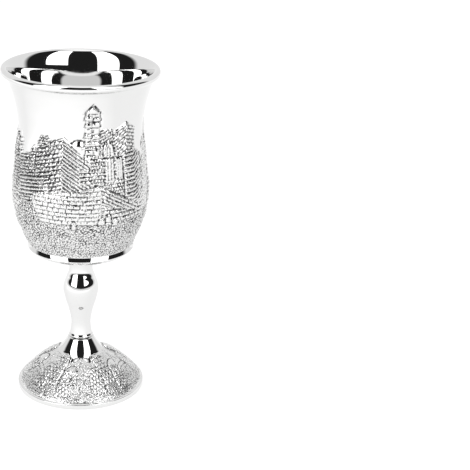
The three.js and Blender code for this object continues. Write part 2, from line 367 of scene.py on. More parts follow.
@dataclass
class Relief:
    """A height map of cast work over an unrolled wall.

    Attributes:
        columns: number of columns round the cup.
        up: distance up the wall for each row.
        reach: radius that turns an angle into a distance, for each row.
        painted_shade_gain: how strongly shade is painted into recesses, everywhere or by row and column.
        surroundings: how many cells away the surroundings of a recess go.
        deep: how far below them a recess lies when it is darkest.
        chased_width: width of the chased lines.
        window_edge: width of the edge of sunk shapes.
        angle: angle of each column in degrees.
        mm_per_degree: distance across that a degree makes, for each row.
        height: height of the work, by row and column.
        worked: how rough the metal is, from 0 for plain, by row and column.
    """

    columns: int
    up: Array
    reach: Array
    painted_shade_gain: Array | float = 1.0
    surroundings: int = 2
    deep: float = 0.09
    chased_width: float = 0.35
    window_edge: float = 0.35
    angle: Array = field(init=False)
    mm_per_degree: Array = field(init=False)
    height: Array = field(init=False)
    worked: Array = field(init=False)

    def __post_init__(self) -> None:
        """Start with an empty map."""
        self.angle = np.arange(self.columns) * 360 / self.columns
        self.mm_per_degree = np.radians(self.reach)[:, None]
        self.height = np.zeros((len(self.up), self.columns))
        self.worked = np.zeros_like(self.height)

    def local(self, at: float) -> tuple[Array, Array]:
        """Measure every place of the map from an angle.

        Args:
            at: the angle in degrees.

        Returns:
            Distances across and up in millimetres, by row and column.
        """
        across = turned(self.angle, at)[None, :] * self.mm_per_degree
        return across, np.broadcast_to(self.up[:, None], across.shape)

    def lay(self, distance: Array, surface: Array, working: Working = CAST) -> None:
        """Lay work over what is there.

        Args:
            distance: signed distance to the work's outline, negative inside.
            surface: the work's height.
            working: how it is worked.
        """
        line = ridge(distance - 0.55 * working.soft, self.chased_width) * (distance > -0.2)
        # Along a chased line over plain metal, the metal is roughened and shade is painted into the line.
        self.worked = np.maximum(self.worked, working.line_shade * line)
        self.height -= working.cut * line * np.clip(0.4 + 3 * self.worked, 0, 1)
        cover = smooth(0.5 - distance / working.soft)
        self.height = self.height * (1 - cover) + surface * cover
        self.worked = self.worked * (1 - cover) + working.tooth * cover

    def stand(self, corners: Sequence[Point], rise: float, face: Texture = plain,
              at: float | None = None, working: Working = CAST) -> None:
        """Stand a convex shape on the wall.

        Args:
            corners: its corners as (angle, distance up), anticlockwise.
            rise: height of its face above the wall.
            face: texture of its face.
            at: angle that the texture is measured from, or None for the shape's middle.
            working: how it is worked.
        """
        if at is None:
            at = sum(angle for angle, _ in corners) / len(corners)
        self.lay(self._distance(corners, at), rise + face(*self.local(at)), working)

    def sink(self, corners: Sequence[Point], floor: float) -> None:
        """Sink a convex shape, such as a window, into the work.

        Args:
            corners: its corners as (angle, distance up), anticlockwise.
            floor: height of its floor above the wall.
        """
        cover = smooth(0.5 - self._distance(corners, corners[0][0]) / self.window_edge)
        self.height = self.height * (1 - cover) + floor * cover

    def raise_dome(self, at: float, width: float, base: float, crown: float, rise: float,
                   working: Working = DOMED) -> None:
        """Raise a half-round dome.

        Args:
            at: angle of its middle.
            width: its width in millimetres.
            base: distance up to its springing.
            crown: distance up to its top.
            rise: height of its middle above the wall.
            working: how it is worked.
        """
        u, v = self.local(at)
        tall = (v - base) / (crown - base)
        shape = np.hypot(u / (width / 2), np.maximum(tall, 0))
        distance = np.maximum((shape - 1) * width / 2, base - 1.0 - v)
        swell = 0.75 + 0.25 * np.sqrt(np.clip(1 - shape**2, 0, 1))
        self.lay(distance, rise * swell, working)

    def raise_tree(self, at: float, width: float, base: float, top: float, rise: float) -> None:
        """Raise a cypress, a narrow leaf with its widest part low down.

        Args:
            at: angle of its middle.
            width: its width in millimetres.
            base: distance up to its foot.
            top: distance up to its tip.
            rise: height of its middle above the wall.
        """
        u, v = self.local(at)
        share = np.clip((v - base) / (top - base), 0, 1)
        half = width / 2 * np.sin(np.pi * np.sqrt(share))
        distance = np.maximum(np.abs(u) - half, np.maximum(base - v, v - top))
        leaves = 0.12 * np.sin(3.1 * v + 4 * np.abs(u)) * np.sin(5.3 * u + 1.7 * v)
        self.lay(distance, rise * (1 - 0.35 * np.abs(u) / (width / 2)) + leaves)

    def recesses(self) -> Array:
        """Find how deep each place lies below its surroundings.

        Returns:
            Value from 0 on faces and ridges to 1 or more in deep joints.
        """
        around = self.height.copy()
        for _ in range(self.surroundings):
            around = (around + np.roll(around, 1, 1) + np.roll(around, -1, 1)) / 3
            padded = np.pad(around, ((1, 1), (0, 0)), mode="edge")
            around = (padded[:-2] + padded[1:-1] + padded[2:]) / 3
        depth = np.clip((around - self.height) / self.deep, 0, 1)
        # This value sets how much shade the finish paints into each recess.
        return self.painted_shade_gain * depth * np.minimum(1, 3 * self.worked)

    def _distance(self, corners: Sequence[Point], at: float) -> Array:
        """Measure the distance to a convex outline.

        Args:
            corners: its corners as (angle, distance up), anticlockwise.
            at: angle that the outline is unrolled from.

        Returns:
            Signed distance in millimetres, negative inside.
        """
        scale = float(self.mm_per_degree[0, 0])
        return polygon(*self.local(at), [((angle - at) * scale, up) for angle, up in corners])


# ---- Turned bodies -------------------------------------------------------------------------------

@dataclass
class TurnedBody:
    """A closed mesh turned round the Z axis, ring by ring, from one pole to the other.

    Attributes:
        points: the points of each ring in metres.
        worked: share of cast texture at each point.
        recess: share of recess at each point.
        faces: the faces between each two rings.
        last: number of the last ring's first point, and its number of points.
        total: number of points so far.
    """

    points: list[Array] = field(default_factory=list)
    worked: list[Array] = field(default_factory=list)
    recess: list[Array] = field(default_factory=list)
    faces: list[Array] = field(default_factory=list)
    last: tuple[int, int] | None = None
    total: int = 0

    def add_ring(self, place: Array, columns: int, worked: Array | float = 0.0,
                 recess: Array | float = 0.0) -> None:
        """Add a ring and join it to the one before.

        Args:
            place: (radius, z) in millimetres, either one point or one for each column.
            columns: number of points round the ring, or 1 for a pole.
            worked: share of cast texture, from 0 on polished metal to 1.
            recess: share of recess, from 0 to 1.
        """
        turn = np.arange(columns) * 2 * np.pi / columns
        radius, z = np.broadcast_to(place, (columns, 2)).T
        ring = np.stack([radius * np.sin(turn), -radius * np.cos(turn), z], 1) * MM
        self.points.append(ring)
        self.worked.append(np.broadcast_to(worked, columns))
        self.recess.append(np.broadcast_to(recess, columns))
        here = (self.total, columns)
        if self.last is not None:
            self._join(self.last, here)
        self.last = here
        self.total += columns

    def add_line(self, line: Array, columns: int) -> None:
        """Add one plain ring for each (radius, z) point of a line."""
        for place in line:
            self.add_ring(place, columns)

    def add_relief(self, line: Array, relief: Relief) -> None:
        """Add rings that follow a line, raised by a relief.

        Args:
            line: one (radius, z) point for each row of the relief.
            relief: the height map.
        """
        out = outward(line)
        recess = relief.recesses()
        columns = relief.height.shape[1]
        for i, place in enumerate(line):
            raised = place[None, :] + relief.height[i][:, None] * out[i][None, :]
            self.add_ring(raised, columns, relief.worked[i], recess[i])

    def _join(self, below: tuple[int, int], above: tuple[int, int]) -> None:
        """Fill the gap between two rings of equal, halved or doubled size, or a ring and a pole.

        Args:
            below: number of the first ring's first point and its number of points.
            above: the same for the second ring.
        """
        (a, m), (b, n) = below, above
        j = np.arange(max(m, n))
        after = (j + 1) % max(m, n)
        if m == n:
            self.faces.append(np.stack([a + j, a + after, b + after, b + j], 1))
        elif m == 1:
            self.faces.append(np.stack([np.full(n, a), b + after, b + j], 1))
        elif n == 1:
            self.faces.append(np.stack([a + j, a + after, np.full(m, b)], 1))
        else:
            even = np.arange(0, max(m, n), 2)
            half = even // 2
            half_after = (half + 1) % min(m, n)
            even_after = (even + 2) % max(m, n)
            if m > n:
                self.faces.append(np.stack([a + even, a + even + 1, b + half], 1))
                self.faces.append(np.stack([a + even + 1, a + even_after, b + half_after, b + half], 1))
            else:
                self.faces.append(np.stack([a + half, b + even + 1, b + even], 1))
                self.faces.append(np.stack([a + half, a + half_after, b + even_after, b + even + 1], 1))

    def build(self, name: str) -> bpy.types.Object:
        """Make the mesh object.

        Args:
            name: name of the object.

        Returns:
            The object, linked to the scene and smooth-shaded.
        """
        mesh = bpy.data.meshes.new(name)
        faces = [tuple(face) for block in self.faces for face in block.tolist()]
        mesh.from_pydata(np.concatenate(self.points).tolist(), [], faces)
        for title, values in (("worked", self.worked), ("recess", self.recess)):
            layer = mesh.attributes.new(title, "FLOAT", "POINT")
            layer.data.foreach_set("value", np.concatenate(values).astype(np.float32))
        mesh.polygons.foreach_set("use_smooth", [True] * len(mesh.polygons))
        mesh.update()
        body = bpy.data.objects.new(name, mesh)
        bpy.context.scene.collection.objects.link(body)
        return body


# ---- Finishes ------------------------------------------------------------------------------------

def add_node(tree: Tree, kind: str, inputs: dict[str | int, object] | None = None,
             **settings: object) -> bpy.types.Node:
    """Add a shader node.

    Args:
        tree: node tree that gets the node.
        kind: the node's type name.
        inputs: value or linked output for each named input.
        settings: properties of the node itself.

    Returns:
        The new node.
    """
    node = tree.nodes.new(kind)
    for key, value in settings.items():
        setattr(node, key, value)
    for key, value in (inputs or {}).items():
        if isinstance(value, Socket):
            tree.links.new(value, node.inputs[key])
        else:
            node.inputs[key].default_value = value
    return node


def calculate(tree: Tree, operation: str, *values: object, clamp: bool = False) -> Socket:
    """Add a math node and return its output."""
    node = add_node(tree, "ShaderNodeMath", dict(enumerate(values)), operation=operation, use_clamp=clamp)
    return node.outputs[0]


@dataclass
class EffectGroups:
    """Node groups that the finishes share, each built once.

    Attributes:
        no_shade_below: recess below which no shade is painted.
        full_above: recess above which the painted shade is full.
        coarse: scale of the coarse grain as a share of the fine grain's.
        cells: scale of the cells between cracks as a share of the fine grain's.
        bend: how far the cracks stray, in metres.
        slow: scale of the waves as a share of the wipe marks'.
        painted_shade: the shade painted into recesses.
        grain: the tooth of cast metal.
        handling: the wipe marks and waves of polished metal.
    """

    no_shade_below: float = 0.22
    full_above: float = 0.85
    coarse: float = 0.35
    cells: float = 0.6
    bend: float = 0.0009
    slow: float = 0.2
    painted_shade: Tree = field(init=False)
    grain: Tree = field(init=False)
    handling: Tree = field(init=False)

    def __post_init__(self) -> None:
        """Build the groups."""
        self.painted_shade = self._painted_shade()
        self.grain = self._grain()
        self.handling = self._handling()

    @staticmethod
    def _group(
        name: str, inputs: Sequence[str], outputs: Sequence[str]
    ) -> tuple[Tree, bpy.types.Node, bpy.types.Node]:
        """Start a group.

        Args:
            name: the group's name.
            inputs: names of its number inputs.
            outputs: names of its number outputs.

        Returns:
            The tree, its input node and its output node.
        """
        tree = bpy.data.node_groups.new(name, "ShaderNodeTree")
        for title in inputs:
            tree.interface.new_socket(title, in_out="INPUT", socket_type="NodeSocketFloat")
        for title in outputs:
            tree.interface.new_socket(title, in_out="OUTPUT", socket_type="NodeSocketFloat")
        return tree, tree.nodes.new("NodeGroupInput"), tree.nodes.new("NodeGroupOutput")

    def _painted_shade(self) -> Tree:
        """Build the shade painted into recesses, in patches.

        Returns:
            The group.
        """
        tree, start, end = self._group("Painted shade", ["Recess", "Amount", "Patch Size"], ["Mask"])
        place = add_node(tree, "ShaderNodeTexCoord").outputs["Object"]
        patches = add_node(tree, "ShaderNodeTexNoise", {
            "Vector": place, "Scale": start.outputs["Patch Size"], "Detail": 4.0,
        }).outputs["Fac"]
        patchy = calculate(tree, "MULTIPLY_ADD", patches, 3.0, -0.6)
        deep = add_node(tree, "ShaderNodeMapRange", {
            "Value": start.outputs["Recess"], "From Min": self.no_shade_below, "From Max": self.full_above,
        }, interpolation_type="SMOOTHSTEP").outputs["Result"]
        strong = calculate(tree, "MULTIPLY", deep, start.outputs["Amount"])
        # Painted shade: deep recesses are darkened, in patches.
        shade_mask = calculate(tree, "MULTIPLY", strong, patchy, clamp=True)
        tree.links.new(shade_mask, end.inputs["Mask"])
        return tree

    def _grain(self) -> Tree:
        """Build the fine tooth of cast metal, with the cracks between its grains.

        Returns:
            The group.
        """
        tree, start, end = self._group("Cast grain", ["Scale", "Worked"], ["Height", "Tooth", "Crack"])
        place = add_node(tree, "ShaderNodeTexCoord").outputs["Object"]
        fine = add_node(tree, "ShaderNodeTexNoise", {
            "Vector": place, "Scale": start.outputs["Scale"], "Detail": 3.0, "Roughness": 0.6,
        }).outputs["Fac"]
        coarse_scale = calculate(tree, "MULTIPLY", start.outputs["Scale"], self.coarse)
        coarse = add_node(tree, "ShaderNodeTexVoronoi", {
            "Vector": place, "Scale": coarse_scale,
        }, feature="SMOOTH_F1").outputs["Distance"]
        shifted = add_node(tree, "ShaderNodeTexNoise", {
            "Vector": place, "Scale": coarse_scale, "Detail": 1.0,
        }).outputs["Color"]
        bent = add_node(tree, "ShaderNodeVectorMath", {
            0: shifted, 1: (self.bend, self.bend, self.bend), 2: place,
        }, operation="MULTIPLY_ADD").outputs["Vector"]
        crack_scale = calculate(tree, "MULTIPLY", start.outputs["Scale"], self.cells)
        gap = add_node(tree, "ShaderNodeTexVoronoi", {
            "Vector": bent, "Scale": crack_scale,
        }, feature="DISTANCE_TO_EDGE").outputs["Distance"]
        crack = add_node(tree, "ShaderNodeMapRange", {
            "Value": gap, "From Min": 0.03, "From Max": 0.16, "To Min": 1.0, "To Max": 0.0,
        }).outputs["Result"]
        cracked = calculate(tree, "MULTIPLY", crack, start.outputs["Worked"])
        mixed = calculate(tree, "MULTIPLY_ADD", coarse, 0.8, fine)
        grooved = calculate(tree, "MULTIPLY_ADD", crack, -0.35, mixed)
        height = calculate(tree, "MULTIPLY", grooved, start.outputs["Worked"])
        tree.links.new(height, end.inputs["Height"])
        tree.links.new(fine, end.inputs["Tooth"])
        tree.links.new(cracked, end.inputs["Crack"])
        return tree

    def _handling(self) -> Tree:
        """Build the faint wipe marks and the slow waves of hand-polished plate.

        Returns:
            The group.
        """
        tree, start, end = self._group("Handling", ["Scale"], ["Wipe", "Wave"])
        place = add_node(tree, "ShaderNodeTexCoord").outputs["Object"]
        stretched = add_node(tree, "ShaderNodeMapping", {
            "Vector": place, "Scale": (1.0, 1.0, 0.25),
        }).outputs["Vector"]
        wipe = add_node(tree, "ShaderNodeTexNoise", {
            "Vector": stretched, "Scale": start.outputs["Scale"], "Detail": 6.0, "Roughness": 0.65,
        }).outputs["Fac"]
        wave_scale = calculate(tree, "MULTIPLY", start.outputs["Scale"], self.slow)
        wave = add_node(tree, "ShaderNodeTexNoise", {
            "Vector": place, "Scale": wave_scale, "Detail": 1.0,
        }).outputs["Fac"]
        tree.links.new(wipe, end.inputs["Wipe"])
        tree.links.new(wave, end.inputs["Wave"])
        return tree


@dataclass(frozen=True)
class SilverPlate:
    """Bright plate, polished where plain, softly cast where worked, with shade painted into recesses.

    Attributes:
        name: the material's name.
        bright: colour of the metal where no shade is painted.
        dark: colour of the fully painted shade.
        polish: roughness of plain metal.
        cast: roughness of worked metal.
        shade_roughness: roughness that fully painted shade adds.
        wipe: how far wipe marks vary the roughness of plain metal.
        tooth: how far the grain varies the roughness of worked metal.
        painted_shade: how strong the shade painted into recesses is.
        cracks: how much the cracks between grains count as recesses for the painted shade.
        patch_scale: scale of the painted shade's patches.
        grain_scale: scale of the cast grain.
        handling_scale: scale of the wipe marks.
        grain_depth: depth of the cast grain in metres.
        wave_depth: depth of the slow waves in metres.
    """

    name: str
    bright: tuple[float, float, float] = (0.80, 0.80, 0.797)
    dark: tuple[float, float, float] = (0.03, 0.03, 0.032)
    polish: float = 0.035
    cast: float = 0.08
    shade_roughness: float = 0.2
    wipe: float = 0.04
    tooth: float = 0.12
    painted_shade: float = 1.0
    cracks: float = 0.16
    patch_scale: float = 700.0
    grain_scale: float = 1500.0
    handling_scale: float = 180.0
    grain_depth: float = 0.00016
    wave_depth: float = 0.00012

    def build(self, groups: EffectGroups) -> bpy.types.Material:
        """Make the material.

        Args:
            groups: the shared effect groups.

        Returns:
            The material.
        """
        material = bpy.data.materials.new(self.name)
        material.use_nodes = True
        tree = material.node_tree
        shader = tree.nodes["Principled BSDF"]
        shader.inputs["Metallic"].default_value = 1.0
        worked = add_node(tree, "ShaderNodeAttribute", attribute_name="worked").outputs["Fac"]
        recess = add_node(tree, "ShaderNodeAttribute", attribute_name="recess").outputs["Fac"]
        grain = add_node(tree, "ShaderNodeGroup", {
            "Scale": self.grain_scale, "Worked": worked,
        }, node_tree=groups.grain).outputs
        shaded = calculate(tree, "MULTIPLY_ADD", grain["Crack"], self.cracks, recess)
        shade_mask = add_node(tree, "ShaderNodeGroup", {
            "Recess": shaded, "Amount": self.painted_shade, "Patch Size": self.patch_scale,
        }, node_tree=groups.painted_shade).outputs["Mask"]
        handling = add_node(tree, "ShaderNodeGroup", {
            "Scale": self.handling_scale,
        }, node_tree=groups.handling).outputs
        # Painted shade: the colour goes towards near black in recesses and in the cracks between grains.
        colour = add_node(tree, "ShaderNodeMix", {
            "Factor": shade_mask, "A": (*self.bright, 1), "B": (*self.dark, 1),
        }, data_type="RGBA").outputs["Result"]
        tree.links.new(colour, shader.inputs["Base Color"])
        wiped = self._around(tree, handling["Wipe"], self.polish, self.wipe)
        toothed = self._around(tree, grain["Tooth"], self.cast, self.tooth)
        rough = add_node(tree, "ShaderNodeMix", {0: worked, "A": wiped, "B": toothed}).outputs["Result"]
        # Where shade is painted, the metal is also made rougher.
        shaded_roughness = calculate(tree, "MULTIPLY_ADD", shade_mask, self.shade_roughness, rough)
        tree.links.new(shaded_roughness, shader.inputs["Roughness"])
        wave = add_node(tree, "ShaderNodeBump", {
            "Height": handling["Wave"], "Distance": self.wave_depth, "Strength": 1.0,
        }).outputs["Normal"]
        bump = add_node(tree, "ShaderNodeBump", {
            "Height": grain["Height"], "Distance": self.grain_depth, "Strength": 1.0, "Normal": wave,
        }).outputs["Normal"]
        tree.links.new(bump, shader.inputs["Normal"])
        return material

    @staticmethod
    def _around(tree: Tree, noise: Socket, middle: float, width: float) -> Socket:
        """Return a value that a noise moves around a middle, over a width."""
        return calculate(tree, "MULTIPLY_ADD", noise, width, middle - width / 2)


# ---- The cup -------------------------------------------------------------------------------------

def place_piece(piece: bpy.types.Object, node: str, material: bpy.types.Material) -> None:
    """Put a piece in the place of its solid.

    Args:
        piece: the piece.
        node: name of the solid that it stands for.
        material: its finish.
    """
    piece.data.materials.append(material)
    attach(piece, BODY)
    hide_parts(node)
    log.info("%s: %d faces, in place of %s", piece.name, len(piece.data.polygons), node)


@dataclass
class Bowl:
    """The hollow bowl: plain underside and band, worked side, plain neck and rolled lip."""

    seat_z: float
    rim_radius: float
    rim_z: float
    seat_radius: float = 7.0
    base: Point = (20.4, 62.8)
    band: Point = (22.1, 64.5)
    band_top: Point = (21.5, 66.5)
    shoulder: Point = (25.7, 77.5)
    belly: Point = (27.2, 89.0)
    hip: Point = (26.2, 104.0)
    waist: Point = (25.1, 115.5)
    neck: Point = (26.3, 125.5)
    flare: Point = (28.4, 133.0)
    lip: float = 1.5
    flare_inside: tuple[Point, ...] = ((26.05, 131.0), (26.7, 134.0), (27.5, 136.6), (28.45, 138.45))
    floor_edge: Point = (19.4, 65.9)
    wall: float = 1.3
    roofs: float = 122.0
    relief_top: float = 133.0
    relief_rows: int = 188
    tower_rows: int = 24
    columns: int = 432
    mean_radius: float = 27.0

    def dress(self, finish: bpy.types.Material) -> None:
        """Build the bowl and put it, in its finish, in the place of its solid."""
        place_piece(self.build(), "bowl", finish)

    def build(self) -> bpy.types.Object:
        """Make the bowl's mesh, from the middle of its underside round to the middle of its floor.

        Returns:
            The bowl.
        """
        side = self._side()
        roofs, split = (int(i) for i in np.searchsorted(side[:, 1], (self.roofs, self.relief_top)))
        crowded = respaced(side[: roofs + 1], self.relief_rows)
        low = np.concatenate([crowded, respaced(side[roofs : split + 1], self.tower_rows)[1:]])
        high = respaced(side[split:], 8)
        relief = Relief(self.columns, low[:, 1], np.full(len(low), self.mean_radius))
        BowlCity(relief).draw()
        few = self.columns // 2
        fewer = self.columns // 4
        body = TurnedBody()
        body.add_ring(np.array([0.0, self.seat_z]), 1)
        body.add_ring(np.array([self.seat_radius / 2, self.seat_z]), fewer)
        body.add_line(self._underside(), few)
        body.add_relief(low, relief)
        body.add_line(high[1:-1], self.columns)
        body.add_line(arc(self._lip_centre(), self.lip, -80, 135, 18), few)
        body.add_line(respaced(self._inside(), 60)[-2::-1], few)
        body.add_line(self._floor(), fewer)
        body.add_ring(np.array([0.0, self.seat_z + self.wall]), 1)
        return body.build("Bowl_relief")

    def _side(self) -> Array:
        """Draw the outer line from the band up to the underside of the lip, without relief.

        Returns:
            Array of (radius, z) points.
        """
        lip_join = (self.rim_radius - 1.25 * self.lip, self.rim_z - 2 * self.lip)
        return spline([
            self.band_top, self.shoulder, self.belly, self.hip, self.waist, self.neck, self.flare, lip_join,
        ], 400)

    def _inside(self) -> Array:
        """Draw the inner line from the edge of the floor up to the lip.

        Returns:
            Array of (radius, z) points.
        """
        thinned = [
            (radius - self.wall, z)
            for radius, z in (self.shoulder, self.belly, self.hip, self.waist, self.neck)
        ]
        lip_end = arc(self._lip_centre(), self.lip, 135, 135, 1)[0]
        return spline([self.floor_edge, *thinned, *self.flare_inside, tuple(lip_end)], 200)

    def _lip_centre(self) -> Point:
        """Return the middle of the lip's round section."""
        return self.rim_radius - self.lip, self.rim_z - self.lip

    def _floor(self) -> Array:
        """Draw the inner line from the edge of the floor in to its middle.

        Returns:
            Array of (radius, z) points.
        """
        floor_z = self.seat_z + self.wall
        turn_in = (self.floor_edge[0] - 1.5, floor_z + 3.2)
        heel = (self.base[0] - 5, floor_z + 1.5)
        edge = bezier(self.floor_edge, turn_in, heel, 5)
        dish = bezier(heel, (self.seat_radius + 2, floor_z), (1.5, floor_z), 5)
        return np.concatenate([edge[1:], dish[1:]])

    def _underside(self) -> Array:
        """Draw the line of the dished underside, its rounded edge, the band and its cove.

        Returns:
            Array of (radius, z) points.
        """
        base_r, base_z = self.base
        band_r, band_z = self.band
        edge = (base_r - 0.9, base_z - 0.6)
        dish = bezier((self.seat_radius, self.seat_z), (base_r - 5, self.seat_z + 1.5), edge, 5)
        turn = bezier(edge, (base_r - 0.2, base_z - 0.4), self.base, 4)
        top = bezier((band_r - 0.2, band_z - 0.6), (band_r + 0.05, band_z - 0.1), (band_r - 0.1, band_z), 4)
        cove = bezier(tuple(top[-1]), (band_r - 0.55, band_z + 0.75),
                      (self.band_top[0] - 0.3, self.band_top[1] - 0.35), 6)
        return np.concatenate([dish, turn[1:], top, cove[1:]])


class Plot(Enum):
    """What stands on a plot of the back streets."""

    GABLED = "gabled house with a cypress"
    DOMED = "domed house"
    TOWER = "gabled tower"


@dataclass
class BowlCity:
    """The walled city round the bowl. Its places are (degrees, z) and its rises are millimetres."""

    relief: Relief
    far: float = 0.35
    house: float = 0.6
    tower: float = 0.8
    wall: float = 1.0
    ground: float = 0.55
    back_from: float = 76.0
    back_to: float = 294.0
    plots: int = 11
    street: float = 92.0
    row: tuple[Plot, ...] = (Plot.GABLED, Plot.DOMED, Plot.GABLED, Plot.TOWER)

    def draw(self) -> None:
        """Lay the whole relief, from the far work to the near."""
        self._hills()
        self._back_streets()
        self._back_wall()
        self._far_houses()
        self._corner_house()
        self._tall_tower()
        self._upper_right()
        self._right_tower()
        self._right_houses()
        self._front_walls()
        self._bushes()
        self._soften()

    def _hills(self) -> None:
        """Lay the rough ground below the walls, higher on the left slope."""
        relief = self.relief
        angle, up = relief.angle, relief.up
        aside = turned(angle, 0)
        wave = 84.5 + 1.6 * np.sin(np.radians(5 * angle + 40))
        slope = 9.5 * smooth((-38 - aside) / 8) * smooth((aside + 104) / 30)
        top = wave + slope
        coarse = Cobbles(150, 1.15, 7)(angle, up)
        fine = Cobbles(270, 0.66, 21)(angle, up)
        hill = self.ground + 0.112 * np.sin(0.9 * up[:, None] + 2.2 * np.sin(np.radians(4 * angle)))
        near_walls = 0.55 + 0.45 * smooth((up[:, None] - 72) / 8)
        scrub = Cobbles(100, 1.7, 25)(angle, up) * smooth((-34 - aside) / 10)[None, :]
        surface = hill + near_walls * (0.42 * coarse + 0.2 * fine + 0.3 * scrub) - 0.25
        relief.lay(up[:, None] - top[None, :], surface, Working(tooth=1.0))

    def _back_streets(self) -> None:
        """Build over the plots on the sides and back."""
        width = (self.back_to - self.back_from) / self.plots
        for number in range(self.plots):
            left = self.back_from + number * width
            self._plot(self.row[number % len(self.row)], left, left + width, number)

    def _plot(self, kind: Plot, left: float, right: float, number: int) -> None:
        """Build over one plot.

        Args:
            kind: what stands on it.
            left: angle of its left edge.
            right: angle of its right edge.
            number: its place in the row, which varies its eaves and stones.
        """
        relief, street = self.relief, self.street
        middle, width = (left + right) / 2, right - left
        eaves = 108 + 5 * math.sin(1.9 * number + 0.6)
        stone = Masonry(course=1.9, length=2.6, seed=30 + number)
        if kind is Plot.DOMED:
            relief.stand(rectangle(left, right, street, eaves), self.house, stone)
            relief.raise_dome(middle, width * 0.45, eaves, eaves + 6, self.house)
        elif kind is Plot.TOWER:
            top = eaves + 6
            relief.stand([(left + 5, street), (right - 4, street), (right - 4, top), (middle, eaves + 11),
                          (left + 5, top)], self.tower, stone)
        else:
            relief.stand([(left, street), (right, street), (right, eaves), (middle, eaves + 3.5),
                          (left, eaves)], self.house, stone)
            relief.raise_tree(right, 2.6, 98, eaves + 5, self.tower)
        for step in (-0.22, 0.22):
            at = middle + step * width
            relief.sink([(at - 1.6, 98), (at + 1.6, 98), (at + 1.6, 101.5), (at, 103), (at - 1.6, 101.5)],
                        0.15)

    def _back_wall(self) -> None:
        """Raise the city wall before the back streets, in stretches of level bays."""
        ashlar = Masonry(course=1.86, length=2.8, depth=0.36, tilt=0.28, bevel=0.36, seed=50)
        bays = 4
        for left, right, low, high in ((76, 148, 84, 94), (149, 221, 82, 93), (222, 298, 84, 94)):
            bay = (right - left) / bays
            for i in range(bays):
                start = left + i * bay
                self.relief.stand(rectangle(start, start + bay, low, high), self.wall, ashlar, left,
                                  Working(cut=0.0))

    def _far_houses(self) -> None:
        """Raise the far houses and the cypresses on the left."""
        relief = self.relief
        rubble = Masonry(course=1.25, length=1.4, depth=0.46, uneven=0.3, slope=0.2, tilt=1.3, seed=4)
        relief.stand([(-80, 88), (-30, 90), (-30, 110), (-56, 108.5), (-80, 104)], self.far, rubble, -48)
        relief.stand([(-92, 90), (-66, 90), (-66, 108), (-79, 112), (-92, 108)], self.far, rubble)
        relief.raise_tree(-76, 2.8, 103, 115.8, self.house)
        relief.raise_tree(-83, 2.8, 103, 116.6, self.house)
        relief.stand([(-50, 105), (-42, 105), (-42, 110.5), (-46, 112.6), (-50, 110.5)], self.house, rubble)

    def _corner_house(self) -> None:
        """Raise the large building seen at its corner, with the smooth dome beside its roof."""
        relief = self.relief
        rubble = Masonry(course=1.2, length=1.4, depth=0.46, uneven=0.3, tilt=1.3, seed=8)
        relief.stand([(-42, 107), (-27, 107), (-27, 115.5), (-31, 117.6), (-38, 117.2), (-42, 114.4)],
                     self.far, rubble)
        relief.raise_dome(-2.0, 7.0, 111.4, 115.6, self.wall, replace(DOMED, soft=1.8))
        left = Masonry(course=1.62, length=1.9, depth=0.5, slope=0.27, uneven=0.2, bevel=0.5,
                       tilt=0.9, seed=2)
        right = Masonry(course=1.52, length=3.0, upright=0.45, depth=0.44, slope=-0.7, uneven=0.06,
                        bevel=0.5, tilt=0.2, seed=3)
        outline = [
            (-42, 95), (10, 95), (10, 107.5), (2, 110.8), (-8, 114.6), (-16, 118), (-24, 116), (-42, 113),
        ]
        relief.stand(outline, self.house, Corner(left, right, crest=0.4, spread=8), -16.5,
                     Working(cut=0.3))
        porch = Masonry(course=1.6, length=3.4, depth=0.5, bevel=0.6)
        relief.stand([(-1.5, 99.4), (9, 99.4), (9, 105.6), (-1.5, 105)], self.house + 0.15, porch)

    def _tall_tower(self) -> None:
        """Raise the tall tower with its galleries and peaked cap."""
        relief = self.relief
        behind = Masonry(course=1.4, length=2.4, slope=0.4, uneven=0.15, tilt=0.5, seed=11)
        relief.stand([(17, 107), (29.5, 107), (29.5, 120.3), (23, 121), (17, 120.3)], self.far, behind)
        shaft = Masonry(course=2.6, length=3.0, upright=0.3, depth=0.13, uneven=0.1, tilt=0.2, seed=6)
        relief.stand([(3.8, 107.5), (16.4, 106), (15.4, 128.8), (4.6, 128.8)], self.tower, shaft,
                     working=Working(cut=0.25, tooth=0.3, line_shade=0.15))
        relief.stand([(5.2, 128.4), (14.8, 128.4), (10, 131.0)], self.wall,
                     working=Working(cut=0.3, tooth=0.2, line_shade=0.6))
        gallery = Working(soft=0.9, cut=0.25, tooth=0.3, line_shade=0.3)
        slant, tall = 0.8, 1.1
        for left, right, z in (
            (3.6, 9.0, 125.6), (11.2, 16.4, 125.2), (4.2, 8.8, 122.6), (10.0, 16.2, 122.8),
            (3.4, 8.8, 118.2), (10.2, 17.0, 117.7), (3.8, 17.4, 114.8), (4.4, 10, 111.4),
        ):
            relief.stand([(left, z), (right, z), (right - slant, z + tall), (left + slant, z + tall)],
                         self.wall + 0.15, working=gallery)
        for left, right, low, high in (
            (8.4, 11.6, 119.8, 121.5), (5.6, 7.2, 127.4, 128.6), (12.4, 14.0, 112.8, 114.0),
        ):
            relief.sink(rectangle(left, right, low, high), self.far)

